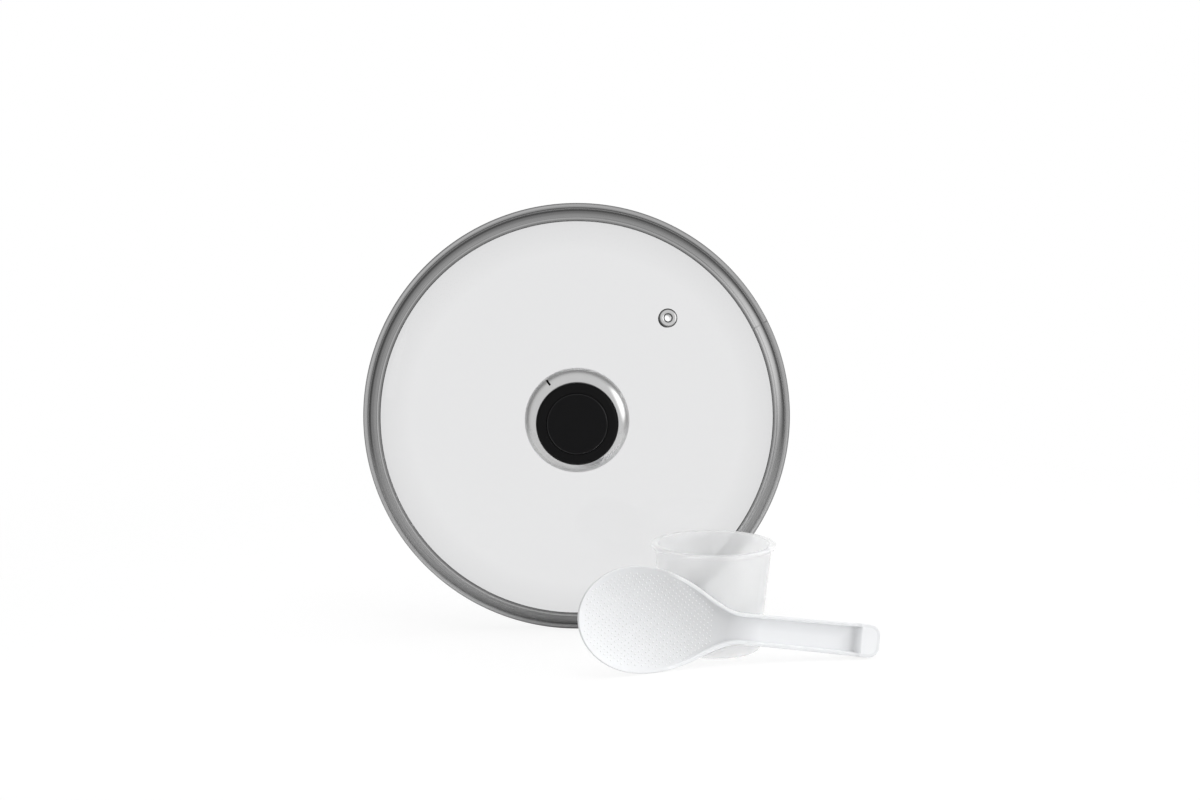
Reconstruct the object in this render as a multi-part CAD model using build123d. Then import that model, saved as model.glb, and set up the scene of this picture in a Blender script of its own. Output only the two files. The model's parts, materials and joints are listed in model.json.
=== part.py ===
from build123d import *
import os
from math import asin, cos, degrees, radians, sin, sqrt, tan

# Every size is in millimetres and every angle in degrees.

# Lid: glass and band
lid_diameter = 260.0
flange_width = 3.0
band_cover = 11.3
sheet = 0.6
shoulder_radius = 5.0
skirt_gap = 5.0
skirt_depth = 8.0
dome_rise = 18.0
glass_thickness = 4.0
glass_inset = 6.0
glass_edge_round = 1.2
seal_bed = 1.0
seal_width = 2.4
lid_lean = 4.8

# Vent through the glass
vent_reach = 81.7
vent_angle = 48.0
vent_bore = 2.1
vent_wall = 1.2
vent_flange = 5.7
vent_flange_height = 0.9
vent_ring_width = 2.0
vent_ring_thickness = 0.8
vent_clinch = 0.5

# Dish under the knob
dish_diameter = 62.6
dish_height = 6.0
dish_edge = 1.0
dish_flat = 39.0
slit_length = 4.0
slit_width = 1.2
slit_reach = 28.5
slit_angle = 127.0

# Knob
knob_diameter = 48.4
knob_height = 25.0
knob_foot = 36.0
knob_waist = 27.0
knob_rim = 7.0
knob_round = 2.4
knob_spigot = 17.6
cap_diameter = 36.0
cap_depth = 1.6
cap_proud = 0.5
insert_diameter = 9.0
insert_length = 15.0

# Screw stack
screw_diameter = 5.0
screw_engagement = 12.0
head_diameter = 9.4
head_height = 3.0
recess_width = 1.3
recess_depth = 1.6
recess_span = 5.2
glass_hole = 10.0
gasket_diameter = 20.0
gasket_thickness = 1.2
pad_thickness = 0.5
screw_gasket_diameter = 17.0
washer_diameter = 16.0
washer_thickness = 1.0
lock_diameter = 8.8
lock_thickness = 1.2
lock_gap = 1.0

# Cup
cup_height = 63.0
cup_top_diameter = 68.6
cup_base_diameter = 55.6
cup_wall = 1.4
cup_floor = 1.6
lip_reach = 2.7
lip_height = 2.2
lip_round = 0.8
base_round = 2.0
foot_width = 3.0
foot_height = 0.8
mark_count = 4
mark_arc = 40.0
mark_height = 0.8
mark_proud = 0.5
mark_angle = 140.0
cup_side = 80.0

# Paddle
paddle_length = 179.0
blade_width = 60.5
blade_peak = 36.0
blade_shoulder = 74.0
shoulder_width = 40.0
shoulder_slope = -0.58
blade_thickness = 2.2
blade_bow = 450.0
blade_dish = 130.0
neck_at = 100.0
neck_width = 18.0
handle_end_width = 19.4
handle_depth = 8.0
handle_corner = 6.5
rail_width = 2.0
rail_start = 60.0
rail_full = 112.0
rail_seat = 1.0
rail_toe = 2.6
rail_step = 0.8
tab_length = 11.0
paddle_lean = 9.3
paddle_yaw = 22.9
paddle_roll = -10.33
paddle_side = 81.0

# Clearances
seat = 0.05
running = 0.05
screw_clear = 0.2
knob_lift = 0.15
spigot_clear = 0.4
cap_clear = 0.15
pad_clear = 0.5
lid_to_cup = 0.6
paddle_to_cup = 0.25
settle_steps = 5
cut_margin = 5.0

# Lid section, worked out
lid_radius = lid_diameter / 2
wall_radius = lid_radius - flange_width
lip_radius = lid_radius - band_cover
skirt_radius = wall_radius - skirt_gap
glass_radius = lid_radius - glass_inset
dome_outer = (lip_radius**2 + dome_rise**2) / (2 * dome_rise)
dome_inner = dome_outer - glass_thickness
dome_centre = sheet + seal_bed - sqrt(dome_inner**2 - glass_radius**2)
crown = dome_centre + dome_outer
under_crown = dome_centre + dome_inner
lip_slope = asin(lip_radius / dome_outer)
lip_bottom = dome_centre + sqrt(dome_outer**2 - lip_radius**2) + seat
shoulder_centre_r = wall_radius - shoulder_radius
lip_run = shoulder_centre_r + shoulder_radius * sin(lip_slope) - lip_radius
lip_top = lip_bottom + sheet / cos(lip_slope)
shoulder_centre_z = lip_top - lip_run * tan(lip_slope) - shoulder_radius * cos(lip_slope)

# Heights of the screw stack, worked out
screw_radius = screw_diameter / 2
dish_top = crown + dish_height
knob_bottom = crown + gasket_thickness + seat
knob_seat = dish_top + knob_lift
screw_gasket_top = dome_centre + sqrt(dome_inner**2 - (screw_gasket_diameter / 2) ** 2) - seat
washer_top = screw_gasket_top - gasket_thickness
lock_top = washer_top - washer_thickness
head_top = lock_top - lock_thickness


def glass_top(r):
    return dome_centre + sqrt(dome_outer**2 - r**2)


def glass_under(r):
    return dome_centre + sqrt(dome_inner**2 - r**2)


def turned(section):
    return revolve(Plane.XZ * section, Axis.Z)


def ring(outer, inner, bottom, height):
    section = make_face(Polyline((inner, bottom), (outer, bottom), (outer, bottom + height),
                                 (inner, bottom + height), close=True))
    return turned(section)


def vent_place():
    tilt = degrees(asin(vent_reach / dome_outer))
    return Rot(0, 0, vent_angle) * Pos(vent_reach, 0, glass_top(vent_reach)) * Rot(0, tilt, 0)


def lid_glass():
    hole = glass_hole / 2
    middle = (hole + glass_radius) / 2
    top = ThreePointArc((hole, glass_top(hole)), (middle, glass_top(middle)),
                        (glass_radius, glass_top(glass_radius)))
    under = ThreePointArc((hole, glass_under(hole)), (middle, glass_under(middle)),
                          (glass_radius, glass_under(glass_radius)))
    section = make_face([top, Line(top @ 1, under @ 1), under, Line(under @ 0, top @ 0)])
    section = fillet(section.vertices().group_by(Axis.X)[-1], glass_edge_round)
    vent_hole = Cylinder(vent_bore + vent_wall + screw_clear, 4 * glass_thickness)
    return turned(section) - vent_place() * vent_hole


def rim_band():
    inner_radius = shoulder_radius - sheet
    out_r, out_z = sin(lip_slope), cos(lip_slope)
    half_turn = (radians(90) - lip_slope) / 2
    lip_under = (lip_radius, lip_bottom)
    lip_over = (lip_radius + sheet * out_r, lip_bottom + sheet * out_z)

    def shoulder(radius):
        centre_r, centre_z = shoulder_centre_r, shoulder_centre_z
        start = (centre_r + radius * out_r, centre_z + radius * out_z)
        middle = (centre_r + radius * cos(half_turn), centre_z + radius * sin(half_turn))
        return ThreePointArc(start, middle, (centre_r + radius, centre_z))

    outer = shoulder(shoulder_radius)
    inner = shoulder(inner_radius)
    hem_top = (lid_radius - sheet, 2 * sheet)
    hem_under = (lid_radius - sheet, 0)
    hem = ThreePointArc(hem_top, (lid_radius, sheet), hem_under)
    wall = Polyline(outer @ 1, (wall_radius, 2 * sheet), hem_top)
    skirt = Polyline(hem_under, (skirt_radius, 0), (skirt_radius, -skirt_depth),
                     (skirt_radius - sheet, -skirt_depth), (skirt_radius - sheet, sheet),
                     (wall_radius - sheet, sheet), inner @ 1)
    lip = Polyline(inner @ 0, lip_under, lip_over, outer @ 0)
    return turned(make_face([outer, wall, hem, skirt, inner, lip]))


def rim_seal():
    bed = sheet + seat
    outer = wall_radius - sheet - seat
    beside = glass_radius + seat
    inner = glass_radius - seal_width
    section = make_face(Polyline((inner, bed), (outer, bed), (outer, shoulder_centre_z),
                                 (beside, shoulder_centre_z), (beside, glass_under(glass_radius) - seat),
                                 (inner, glass_under(inner) - seat), close=True))
    return turned(section)


def vent_eyelet():
    tube = vent_bore + vent_wall
    under = -glass_thickness - 2 * seat - vent_ring_thickness - seat
    section = make_face(Polyline((vent_bore, under - vent_clinch), (tube + vent_clinch, under - vent_clinch),
                                 (tube + vent_clinch, under), (tube, under), (tube, seat),
                                 (vent_flange, seat), (vent_flange, seat + vent_flange_height),
                                 (vent_bore, seat + vent_flange_height), close=True))
    top = section.vertices().group_by(Axis.Y)[-1]
    return vent_place() * turned(fillet(top, vent_flange_height / 2))


def vent_ring():
    tube = vent_bore + vent_wall + seat
    bottom = -glass_thickness - 2 * seat - vent_ring_thickness
    return vent_place() * ring(tube + vent_ring_width, tube, bottom, vent_ring_thickness)


def knob_base():
    outer = dish_diameter / 2
    flat = dish_flat / 2
    bottom = glass_top(outer) + seat
    spring = bottom + dish_edge
    hole = (knob_spigot + spigot_clear) / 2
    rise = dish_top - spring
    over = EllipticalCenterArc((flat, spring), outer - flat, rise, arc_size=90)
    below = EllipticalCenterArc((flat, spring), outer - flat - sheet, rise - sheet, arc_size=90)
    edge = Polyline(below @ 0, (outer - sheet, bottom), (outer, bottom), over @ 0)
    top = Polyline(over @ 1, (hole, dish_top), (hole, dish_top - sheet), below @ 1)
    dish = turned(make_face([over, top, below, edge]))
    slit = Rot(0, 0, slit_angle) * Pos(slit_reach, 0, spring) * Box(slit_length, slit_width, 2 * rise)
    return dish - slit


def base_gasket():
    clear = screw_radius + screw_clear
    bottom = glass_top(glass_hole / 2)
    flange = ring(gasket_diameter / 2, clear, bottom, crown + gasket_thickness - bottom)
    collar_depth = glass_thickness - screw_clear
    collar = ring(glass_hole / 2 - seat, clear, bottom - collar_depth, collar_depth)
    inner = glass_hole / 2
    outer = dish_diameter / 2 - sheet - pad_clear
    radii = (inner, (inner + outer) / 2, outer)
    under = ThreePointArc(*[(radius, glass_top(radius) + seat) for radius in radii])
    over = ThreePointArc(*[(radius, glass_top(radius) + seat + pad_thickness) for radius in radii])
    pad = turned(make_face([under, Line(under @ 1, over @ 1), over, Line(over @ 0, under @ 0)]))
    return flange + collar + pad


def screw_gasket():
    clear = screw_radius + screw_clear
    return ring(screw_gasket_diameter / 2, clear, washer_top, gasket_thickness)


def screw_washer():
    clear = screw_radius + screw_clear
    return ring(washer_diameter / 2, clear, lock_top, washer_thickness)


def lock_washer():
    whole = ring(lock_diameter / 2, screw_radius + screw_clear, head_top, lock_thickness)
    split = Pos(lock_diameter / 2, 0, head_top) * Box(lock_diameter, lock_gap, 4 * lock_thickness)
    return whole - split


def knob_screw():
    length = knob_bottom + screw_engagement - head_top
    shank = Pos(0, 0, head_top) * Cylinder(screw_radius, length, align=(Align.CENTER, Align.CENTER, Align.MIN))
    head = Pos(0, 0, head_top) * Cylinder(head_diameter / 2, head_height,
                                          align=(Align.CENTER, Align.CENTER, Align.MAX))
    head = fillet(head.edges().sort_by(Axis.Z)[0], head_height / 2)
    bar = Pos(0, 0, head_top - head_height) * Box(recess_span, recess_width, 2 * recess_depth)
    return shank + head - bar - Rot(0, 0, 90) * bar


def knob():
    top = dish_top + knob_height
    rim_bottom = top - knob_rim
    rim = knob_diameter / 2
    waist = knob_waist / 2
    foot = knob_foot / 2
    spigot = knob_spigot / 2
    hole = insert_diameter / 2
    cap = cap_diameter / 2 + cap_clear
    neck = Spline((foot, knob_seat + knob_round), (waist, (knob_seat + rim_bottom) / 2), (rim, rim_bottom),
                  tangents=((-1, 1), (1, 1)))
    outer = Polyline(neck @ 1, (rim, top), (cap, top), (cap, top - cap_depth), (0, top - cap_depth),
                     (0, knob_bottom + insert_length), (hole, knob_bottom + insert_length),
                     (hole, knob_bottom), (spigot, knob_bottom), (spigot, knob_seat), (foot, knob_seat), neck @ 0)
    section = make_face([neck, outer])
    crest = section.vertices().sort_by_distance((rim, top))[0]
    return turned(fillet(crest, knob_round))


def knob_cap():
    top = dish_top + knob_height
    radius = cap_diameter / 2
    disc = Pos(0, 0, top - cap_depth) * Cylinder(radius, cap_depth + cap_proud,
                                                 align=(Align.CENTER, Align.CENTER, Align.MIN))
    return fillet(disc.edges().sort_by(Axis.Z)[-1], cap_proud)


def knob_insert():
    return ring(insert_diameter / 2, screw_radius + running, knob_bottom, insert_length)


def measuring_cup():
    top = cup_top_diameter / 2
    base = cup_base_diameter / 2
    lip = top + lip_reach
    foot = base - foot_width
    outside = [(foot, foot_height), (foot, 0), (base, 0), (top, cup_height - lip_height),
               (lip, cup_height - lip_height), (lip, cup_height)]
    inside = [(top - cup_wall, cup_height), (base - cup_wall, cup_floor), (0, cup_floor), (0, foot_height)]
    section = make_face(Polyline(*outside, *inside, close=True))
    section = fillet(section.vertices().sort_by_distance((lip, cup_height))[0:2], lip_round)
    section = fillet(section.vertices().sort_by_distance((base, 0))[0], base_round)
    section = fillet(section.vertices().sort_by_distance((base - cup_wall, cup_floor))[0], base_round)
    cup = turned(section)
    for mark in range(mark_count):
        cup += level_mark((mark + 1) / (mark_count + 1))
    return cup


def level_mark(share):
    middle = cup_floor + share * (cup_height - cup_floor)
    radius = (cup_base_diameter + (cup_top_diameter - cup_base_diameter) * middle / cup_height) / 2
    inner = radius - cup_wall / 2
    section = make_face(Polyline((inner, middle), (radius + mark_proud, middle),
                                 (radius + mark_proud, middle + mark_height), (inner, middle + mark_height),
                                 close=True))
    return Rot(0, 0, mark_angle) * revolve(Plane.XZ * section, Axis.Z, mark_arc)


def paddle_outline(inset):
    blade_half = blade_width / 2 - inset
    shoulder_half = shoulder_width / 2 - inset
    neck_half = neck_width / 2 - inset
    end_half = handle_end_width / 2 - inset
    end = paddle_length - inset
    tip = EllipticalCenterArc((blade_peak, 0), blade_peak - inset, blade_half, 90, arc_size=180)
    side = Spline((blade_peak, blade_half), (blade_shoulder, shoulder_half), (neck_at, neck_half),
                  tangents=((1, 0), (1, shoulder_slope), (1, 0)))
    edge = Line(side @ 1, (end, end_half))
    half = [side, edge]
    other = [mirror(line, Plane.XZ) for line in half]
    face = make_face([tip, Line((end, end_half), (end, -end_half))] + half + other)
    return fillet(face.vertices().group_by(Axis.X)[-1], handle_corner - inset)


def bowed(s, depth):
    return blade_bow - sqrt((blade_bow - depth) ** 2 - (s - blade_peak) ** 2)


def bowed_shell():
    reach = blade_width / 2 + cut_margin
    swing = asin(reach / blade_dish)
    centre = blade_dish + blade_thickness

    def arc(radius):
        end = radius * sin(swing)
        height = centre - radius * cos(swing)
        return ThreePointArc((-end, height), (0, centre - radius), (end, height))

    front = arc(blade_dish)
    back = arc(centre)
    section = make_face([front, Line(front @ 1, back @ 1), back, Line(back @ 0, front @ 0)])
    section = Pos(blade_peak, 0, 0) * (Plane.YZ * section)
    pivot = Axis((blade_peak, 0, blade_bow), (0, 1, 0))
    to_tip = degrees(asin((blade_peak + cut_margin) / (blade_bow - handle_depth)))
    to_end = degrees(asin((paddle_length + cut_margin - blade_peak) / (blade_bow - handle_depth)))
    return revolve(section.rotate(pivot, to_tip), pivot, -(to_tip + to_end))


def handle_slab():
    end = paddle_length + cut_margin
    middle = (rail_full + end) / 2
    under = [(rail_start, bowed(rail_start, rail_toe))]
    under += [(s, bowed(s, rail_seat)) for s in (rail_full, middle, end)]
    over = [(s, bowed(s, handle_depth)) for s in (end, middle, rail_full)]
    over += [(rail_start, bowed(rail_start, rail_toe + rail_step))]
    return extrude(Plane.XZ * make_face(Polyline(*under, *over, close=True)), blade_width, both=True)


def rice_paddle():
    outline = paddle_outline(0)
    rim = outline - paddle_outline(rail_width)
    prism = Pos(0, 0, -cut_margin) * extrude(outline, blade_bow)
    rim_prism = Pos(0, 0, -cut_margin) * extrude(rim, blade_bow)
    tab = Pos(paddle_length - tab_length / 2, 0, 0) * Box(tab_length, blade_width, blade_bow)
    slab = handle_slab()
    return (bowed_shell() & prism) + (slab & rim_prism) + (slab & prism & tab)


def slide_to(shape, target, gap):
    for _ in range(settle_steps):
        shape = Pos(0, shape.distance_to(target) - gap, 0) * shape
    return shape


def paddle_turned():
    upright = Rot(90 - paddle_lean, 0, 0) * Rot(0, 0, paddle_roll) * rice_paddle()
    posed = Rot(0, 0, paddle_yaw) * upright
    return Pos(0, 0, -posed.bounding_box().min.Z) * posed


def lid_place():
    lean = radians(lid_lean)
    height = (lid_radius - sheet) * cos(lean) - sheet * sin(lean) + sheet
    return Pos(0, 0, height) * Rot(90 - lid_lean, 0, 0)


def assembly():
    on_lid = [lid_glass, rim_band, rim_seal, vent_eyelet, vent_ring, knob_base, base_gasket, screw_gasket,
              screw_washer, lock_washer, knob_screw, knob, knob_cap, knob_insert]
    pieces = {make.__name__: lid_place() * make() for make in on_lid}
    cup = slide_to(Pos(cup_side, -lid_radius, 0) * measuring_cup(), pieces["lid_glass"], lid_to_cup)
    pieces["measuring_cup"] = cup
    start = Pos(cup_side - paddle_side, -2 * lid_radius, 0)
    pieces["rice_paddle"] = slide_to(start * paddle_turned(), cup, paddle_to_cup)
    return pieces


def centred(pieces):
    boxes = [piece.bounding_box() for piece in pieces.values()]
    middle_x = (min(box.min.X for box in boxes) + max(box.max.X for box in boxes)) / 2
    middle_y = (min(box.min.Y for box in boxes) + max(box.max.Y for box in boxes)) / 2
    return {name: Pos(-middle_x, -middle_y, 0) * piece for name, piece in pieces.items()}


os.makedirs("parts", exist_ok=True)
for name, piece in centred(assembly()).items():
    export_step(piece, "parts/" + name + ".step")
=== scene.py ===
"""Glass pot lid with its measuring cup and rice paddle: the looks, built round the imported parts."""
import json
import math

import bmesh
import bpy
from bpy.props import FloatProperty, FloatVectorProperty, IntProperty, PointerProperty
from mathutils import Euler, Matrix, Vector


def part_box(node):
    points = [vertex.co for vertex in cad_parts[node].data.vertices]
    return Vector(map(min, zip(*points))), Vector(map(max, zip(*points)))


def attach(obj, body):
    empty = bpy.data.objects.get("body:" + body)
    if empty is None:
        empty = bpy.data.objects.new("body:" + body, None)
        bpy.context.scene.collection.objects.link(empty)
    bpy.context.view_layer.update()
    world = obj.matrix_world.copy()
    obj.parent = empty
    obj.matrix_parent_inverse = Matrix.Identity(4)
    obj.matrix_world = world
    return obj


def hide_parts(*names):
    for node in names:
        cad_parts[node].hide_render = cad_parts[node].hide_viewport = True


bl_info = {
    "name": "Pot lid, measuring cup and rice paddle",
    "version": (1, 0, 0),
    "blender": (4, 5, 0),
    "location": "View3D > Sidebar > Pot lid",
    "description": "Dresses the packed lid, cup and paddle for a studio picture",
    "category": "Object",
}

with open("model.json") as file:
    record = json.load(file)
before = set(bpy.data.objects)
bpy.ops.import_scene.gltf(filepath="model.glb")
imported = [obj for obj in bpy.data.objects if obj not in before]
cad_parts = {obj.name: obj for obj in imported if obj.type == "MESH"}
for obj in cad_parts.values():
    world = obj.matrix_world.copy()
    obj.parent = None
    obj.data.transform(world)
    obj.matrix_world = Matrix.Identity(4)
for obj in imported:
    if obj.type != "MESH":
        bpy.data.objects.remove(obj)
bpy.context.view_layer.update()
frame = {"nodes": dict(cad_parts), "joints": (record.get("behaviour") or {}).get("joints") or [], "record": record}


# Sizes and colours

def length(name, description, metres):
    return FloatProperty(name=name, description=description, default=metres, unit="LENGTH", precision=5)


def turn(name, description, degrees):
    return FloatProperty(name=name, description=description, default=math.radians(degrees), subtype="ANGLE")


def colour(name, description, rgb):
    return FloatVectorProperty(name=name, description=description, default=rgb, subtype="COLOR", size=3,
                               min=0, max=1)


def factor(name, description, value):
    return FloatProperty(name=name, description=description, default=value, min=0, max=1, subtype="FACTOR")


class RimSizes(bpy.types.PropertyGroup):
    """The rolled steel band round the glass"""
    sheet: length("Sheet", "Thickness of the steel sheet", 0.0006)
    flange: length("Flange", "Width of the flat lip outside the wall", 0.003)
    cover: length("Cover", "How far the band reaches in over the glass", 0.0113)
    shoulder: length("Shoulder", "Radius of the rounded shoulder", 0.005)
    crown: turn("Crown", "Slope of the lip where it leaves the shoulder", 33.0)
    roll: length("Roll", "Radius of the lip's edge, rolled down to the glass", 0.0008)
    hem: length("Hem", "Width of the folded hem along the lip's edge", 0.0018)
    hem_height: length("Hem height", "How far the hem stands over the lip", 0.00015)
    crease: length("Crease", "Radius of the crease between flange and wall", 0.0004)
    skirt_gap: length("Skirt gap", "From the wall in to the skirt", 0.005)
    skirt_depth: length("Skirt depth", "How far the skirt drops below the flange", 0.008)
    seal_bed: length("Seal bed", "Thickness of the seal under the glass", 0.001)
    glass_thickness: length("Glass", "Thickness of the glass", 0.004)
    glass_inset: length("Glass inset", "From the flange's edge in to the edge of the glass", 0.006)
    dome_rise: length("Dome rise", "Height of the dome over its edge", 0.018)
    glass_fit: length("Fit", "Gap between the band and the glass", 0.00005)
    cap_edge: length("Cap edge", "Radius of the rounded edge of the knob's cap", 0.0012)
    weld_angle: turn("Weld", "Where the band's ends are welded together", 26.8)
    steps: IntProperty(name="Steps", description="Steps round the turned band", default=420, min=24)


class PaddleSizes(bpy.types.PropertyGroup):
    """The moulded rice paddle, measured along its length from the tip"""
    span: length("Length", "From the tip of the blade to the end of the handle", 0.179)
    blade: length("Blade width", "Widest place of the blade", 0.0605)
    peak: length("Peak", "Where the blade is widest", 0.036)
    shoulder: length("Shoulder", "Where the blade turns in to the neck", 0.074)
    shoulder_width: length("Shoulder width", "Width at the shoulder", 0.040)
    shoulder_slope: FloatProperty(name="Shoulder slope", description="Slope of the edge at the shoulder",
                                  default=-0.58)
    neck: length("Neck", "Where the handle starts", 0.100)
    neck_width: length("Neck width", "Width at the neck", 0.018)
    end_width: length("End width", "Width of the handle's end", 0.0194)
    corner: length("Corner", "Radius of the handle's corners", 0.0065)
    thickness: length("Thickness", "Thickness of the blade", 0.0022)
    bow: length("Bow", "Radius of the bow along the length", 0.450)
    dish: length("Dish", "Radius of the hollow across the blade", 0.130)
    depth: length("Depth", "Depth of the handle's rails", 0.008)
    rail: length("Rail", "Width of the rails on the handle", 0.0017)
    rail_start: length("Rail start", "Where the rails leave the blade", 0.048)
    rail_full: length("Rail full", "Where the rails are at their full depth", 0.112)
    tab: length("Tab", "Length of the closed end of the handle", 0.011)
    edge: length("Edge", "Radius of the rounded edges", 0.0007)
    lean: turn("Lean", "How far the paddle leans back", 9.3)
    yaw: turn("Yaw", "How far it is turned on the floor", 22.9)
    roll: turn("Roll", "How far the handle drops", -10.33)


class DotSizes(bpy.types.PropertyGroup):
    """The raised dots on the blade that keep rice from sticking"""
    pitch: length("Pitch", "Distance between the dots", 0.0030)
    radius: length("Radius", "Radius of a dot", 0.0005)
    height: length("Height", "How far a dot stands proud", 0.0003)
    margin: length("Margin", "Free strip inside the blade's edge", 0.0034)
    last: length("Last row", "How far up the blade the rows go", 0.083)


class Finishes(bpy.types.PropertyGroup):
    """Colours of the finishes"""
    glass: colour("Glass", "Clear glass with a faint grey", (0.80, 0.801, 0.806))
    satin_steel: colour("Satin steel", "Brushed stainless of the rim", (0.658, 0.657, 0.659))
    polished_steel: colour("Polished steel", "Stainless of the dish and the vent", (0.86, 0.86, 0.86))
    zinc: colour("Zinc", "Plated screw and washers", (0.66, 0.67, 0.69))
    silicone: colour("Silicone", "Milky silicone", (0.70, 0.70, 0.69))
    rubber: colour("Rubber", "Black rubber of the gasket", (0.008, 0.008, 0.008))
    knob_black: colour("Knob", "Black phenolic", (0.0030, 0.0030, 0.0033))
    cap_black: colour("Cap", "Black cap with a fine grain", (0.0045, 0.0045, 0.0050))
    brass: colour("Brass", "Turned brass", (0.72, 0.56, 0.27))
    cup: colour("Cup", "Natural polypropylene", (0.945, 0.957, 0.972))
    paddle: colour("Paddle", "White polypropylene", (0.922, 0.931, 0.945))
    # Painted highlight: the dots are a lighter white than the blade so that they show as bright specks
    dots: colour("Dots", "Painted-bright tops of the dots", (0.915, 0.92, 0.93))


class StudioSizes(bpy.types.PropertyGroup):
    """Camera, lamps and floor"""
    camera: FloatVectorProperty(name="Camera", description="Where the camera stands", size=3, subtype="XYZ",
                                unit="LENGTH", default=(-0.0280, -1.2, 0.3275))
    camera_yaw: turn("Camera yaw", "Turned to the right", 0.876)
    camera_pitch: turn("Camera pitch", "Turned down", 8.515)
    lens: FloatProperty(name="Lens", description="Focal length on a 36 mm sensor", default=62.389,
                        unit="CAMERA")
    key: FloatProperty(name="Key", description="Softbox on the right", default=7.6, unit="POWER")
    fill: FloatProperty(name="Fill", description="Softbox on the left", default=3.6, unit="POWER")
    top: FloatProperty(name="Top", description="Softbox overhead", default=17.5, unit="POWER")
    room: factor("Room", "Brightness of the room behind the camera", 0.68)
    flags: factor("Flags", "Brightness of the dark flags at the sides", 0.2)
    glow: FloatProperty(name="Glow", description="Brightness of the soft light on the right", default=0.95)
    glow_toward: FloatVectorProperty(name="Glow side", description="Where the soft light is", size=3,
                                     subtype="DIRECTION", default=(0.80, -0.53, 0.30))
    surround: factor("Surround", "Brightness of the white surround", 0.80)
    floor: factor("Floor", "Whiteness of the floor", 0.95)
    floor_mirror: factor("Mirrored floor", "Whiteness of the floor in shiny faces", 0.6)
    floor_reach: length("Floor reach", "Where the floor has faded into the background", 0.8)
    floor_clear: factor("Clear floor", "How little of the shadow shows", 0.87)


# Helpers for nodes, places and pieces

class Web:
    """A node tree, emptied, with short ways to add to it"""

    def __init__(self, tree):
        self.nodes, self.links = tree.nodes, tree.links
        self.nodes.clear()

    def add(self, kind, **settings):
        node = self.nodes.new(kind)
        for name, value in settings.items():
            setattr(node, name, value)
        return node

    def fill(self, socket, value):
        """Gives a socket a link or a value of its own"""
        if isinstance(value, bpy.types.NodeSocket):
            self.links.new(value, socket)
        else:
            socket.default_value = value

    def fed(self, kind, *inputs, **settings):
        """Adds a node, fills its inputs in order with numbers or links and gives its outputs back"""
        node = self.add(kind, **settings)
        for socket, value in zip(node.inputs, inputs):
            self.fill(socket, value)
        return node.outputs

    def wired(self, node, **inputs):
        """Fills the named inputs of a node, or of a new one of that kind, and gives its first output back"""
        if isinstance(node, str):
            node = self.add(node)
        for name, value in inputs.items():
            self.fill(node.inputs[name.replace("_", " ")], value)
        return node.outputs[0] if node.outputs else None

    def math(self, operation, first, second=0.0):
        return self.fed("ShaderNodeMath", first, second, operation=operation)[0]

    def split(self, vector):
        """The X, Y and Z of a vector"""
        return self.fed("ShaderNodeSeparateXYZ", vector)

    def spread(self, value, low, high, start=0.0, stop=1.0, ends="LINEAR"):
        """Takes value from between start and stop to between low and high"""
        return self.fed("ShaderNodeMapRange", value, start, stop, low, high, interpolation_type=ends)[0]


class Finish(Web):
    """A material of nodes that ends in a Principled shader"""

    def __init__(self, name):
        self.material = bpy.data.materials.new(name)
        self.material.use_nodes = True
        super().__init__(self.material.node_tree)
        self.shader = self.add("ShaderNodeBsdfPrincipled")
        self.fed("ShaderNodeOutputMaterial", self.shader.outputs["BSDF"])

    def set(self, **sockets):
        self.wired(self.shader, **sockets)

    def into(self, value, socket):
        self.links.new(value, self.shader.inputs[socket])

    def coordinates(self, kind="Object", place=None, stretch=(1, 1, 1)):
        """Object or UV coordinates, turned into the axes of place when it is given"""
        source = self.add("ShaderNodeTexCoord").outputs[kind]
        back = Matrix() if place is None else place.inverted()
        return self.fed("ShaderNodeMapping", source, back.to_translation(), back.to_euler(), stretch)[0]

    def noise(self, vector, scale, detail=3.0):
        return self.wired("ShaderNodeTexNoise", Vector=vector, Scale=scale, Detail=detail)

    def radius(self, vector):
        """Distance from the Z axis"""
        axes = self.split(vector)
        square = [self.math("MULTIPLY", axes[k], axes[k]) for k in ("X", "Y")]
        return self.math("SQRT", self.math("ADD", *square))

    def ramp(self, value, stops):
        """A tone that follows value; stops are pairs of value and tone, in rising order"""
        first, last = stops[0][0], stops[-1][0]
        node = self.add("ShaderNodeValToRGB")
        points = node.color_ramp.elements
        for k, (at, tone) in enumerate(stops):
            spot = (at - first) / (last - first)
            point = points[k] if k < 2 else points.new(spot)
            point.position = spot
            point.color = (tone, tone, tone, 1.0)
        self.links.new(self.spread(value, 0.0, 1.0, first, last), node.inputs[0])
        return node.outputs[0]

    def blend(self, share, first, second):
        """A colour between first and second"""
        node = self.add("ShaderNodeMix", data_type="RGBA")
        self.fill(node.inputs[0], share)
        for socket, value in zip((node.inputs[6], node.inputs[7]), (first, second)):
            self.fill(socket, (*value, 1.0) if isinstance(value, tuple) else value)
        return node.outputs[2]

    def bump(self, height, strength, distance):
        self.into(self.wired("ShaderNodeBump", Strength=strength, Distance=distance, Height=height), "Normal")


def shaded(rgb, share):
    return tuple(channel * share for channel in rgb)


def finishes():
    return bpy.context.scene.pot_finishes


def dress(node, material):
    """Gives a CAD node its material"""
    piece = frame["nodes"][node]
    piece.data.materials.clear()
    piece.data.materials.append(material)


def lid_place():
    """From the lid's own axes (right, up, out of the dome) to the set's, with the origin on the flange"""
    hinge = next(j for j in frame["joints"] if j["name"] == "knob_turn")
    seat = next(m for m in frame["record"]["mounts"] if m["name"] == "pot_seat")
    out = Vector(hinge["axis"]).normalized()
    on_axis = Vector(hinge["pos_m"])
    centre = on_axis - out * out.dot(on_axis - Vector(seat["pos_m"]))
    right = Vector((1, 0, 0))
    place = Matrix((right, out.cross(right), out)).transposed().to_4x4()
    place.translation = centre
    return place


def half_width(node):
    low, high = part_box(node)
    return (high.x - low.x) / 2


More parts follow.
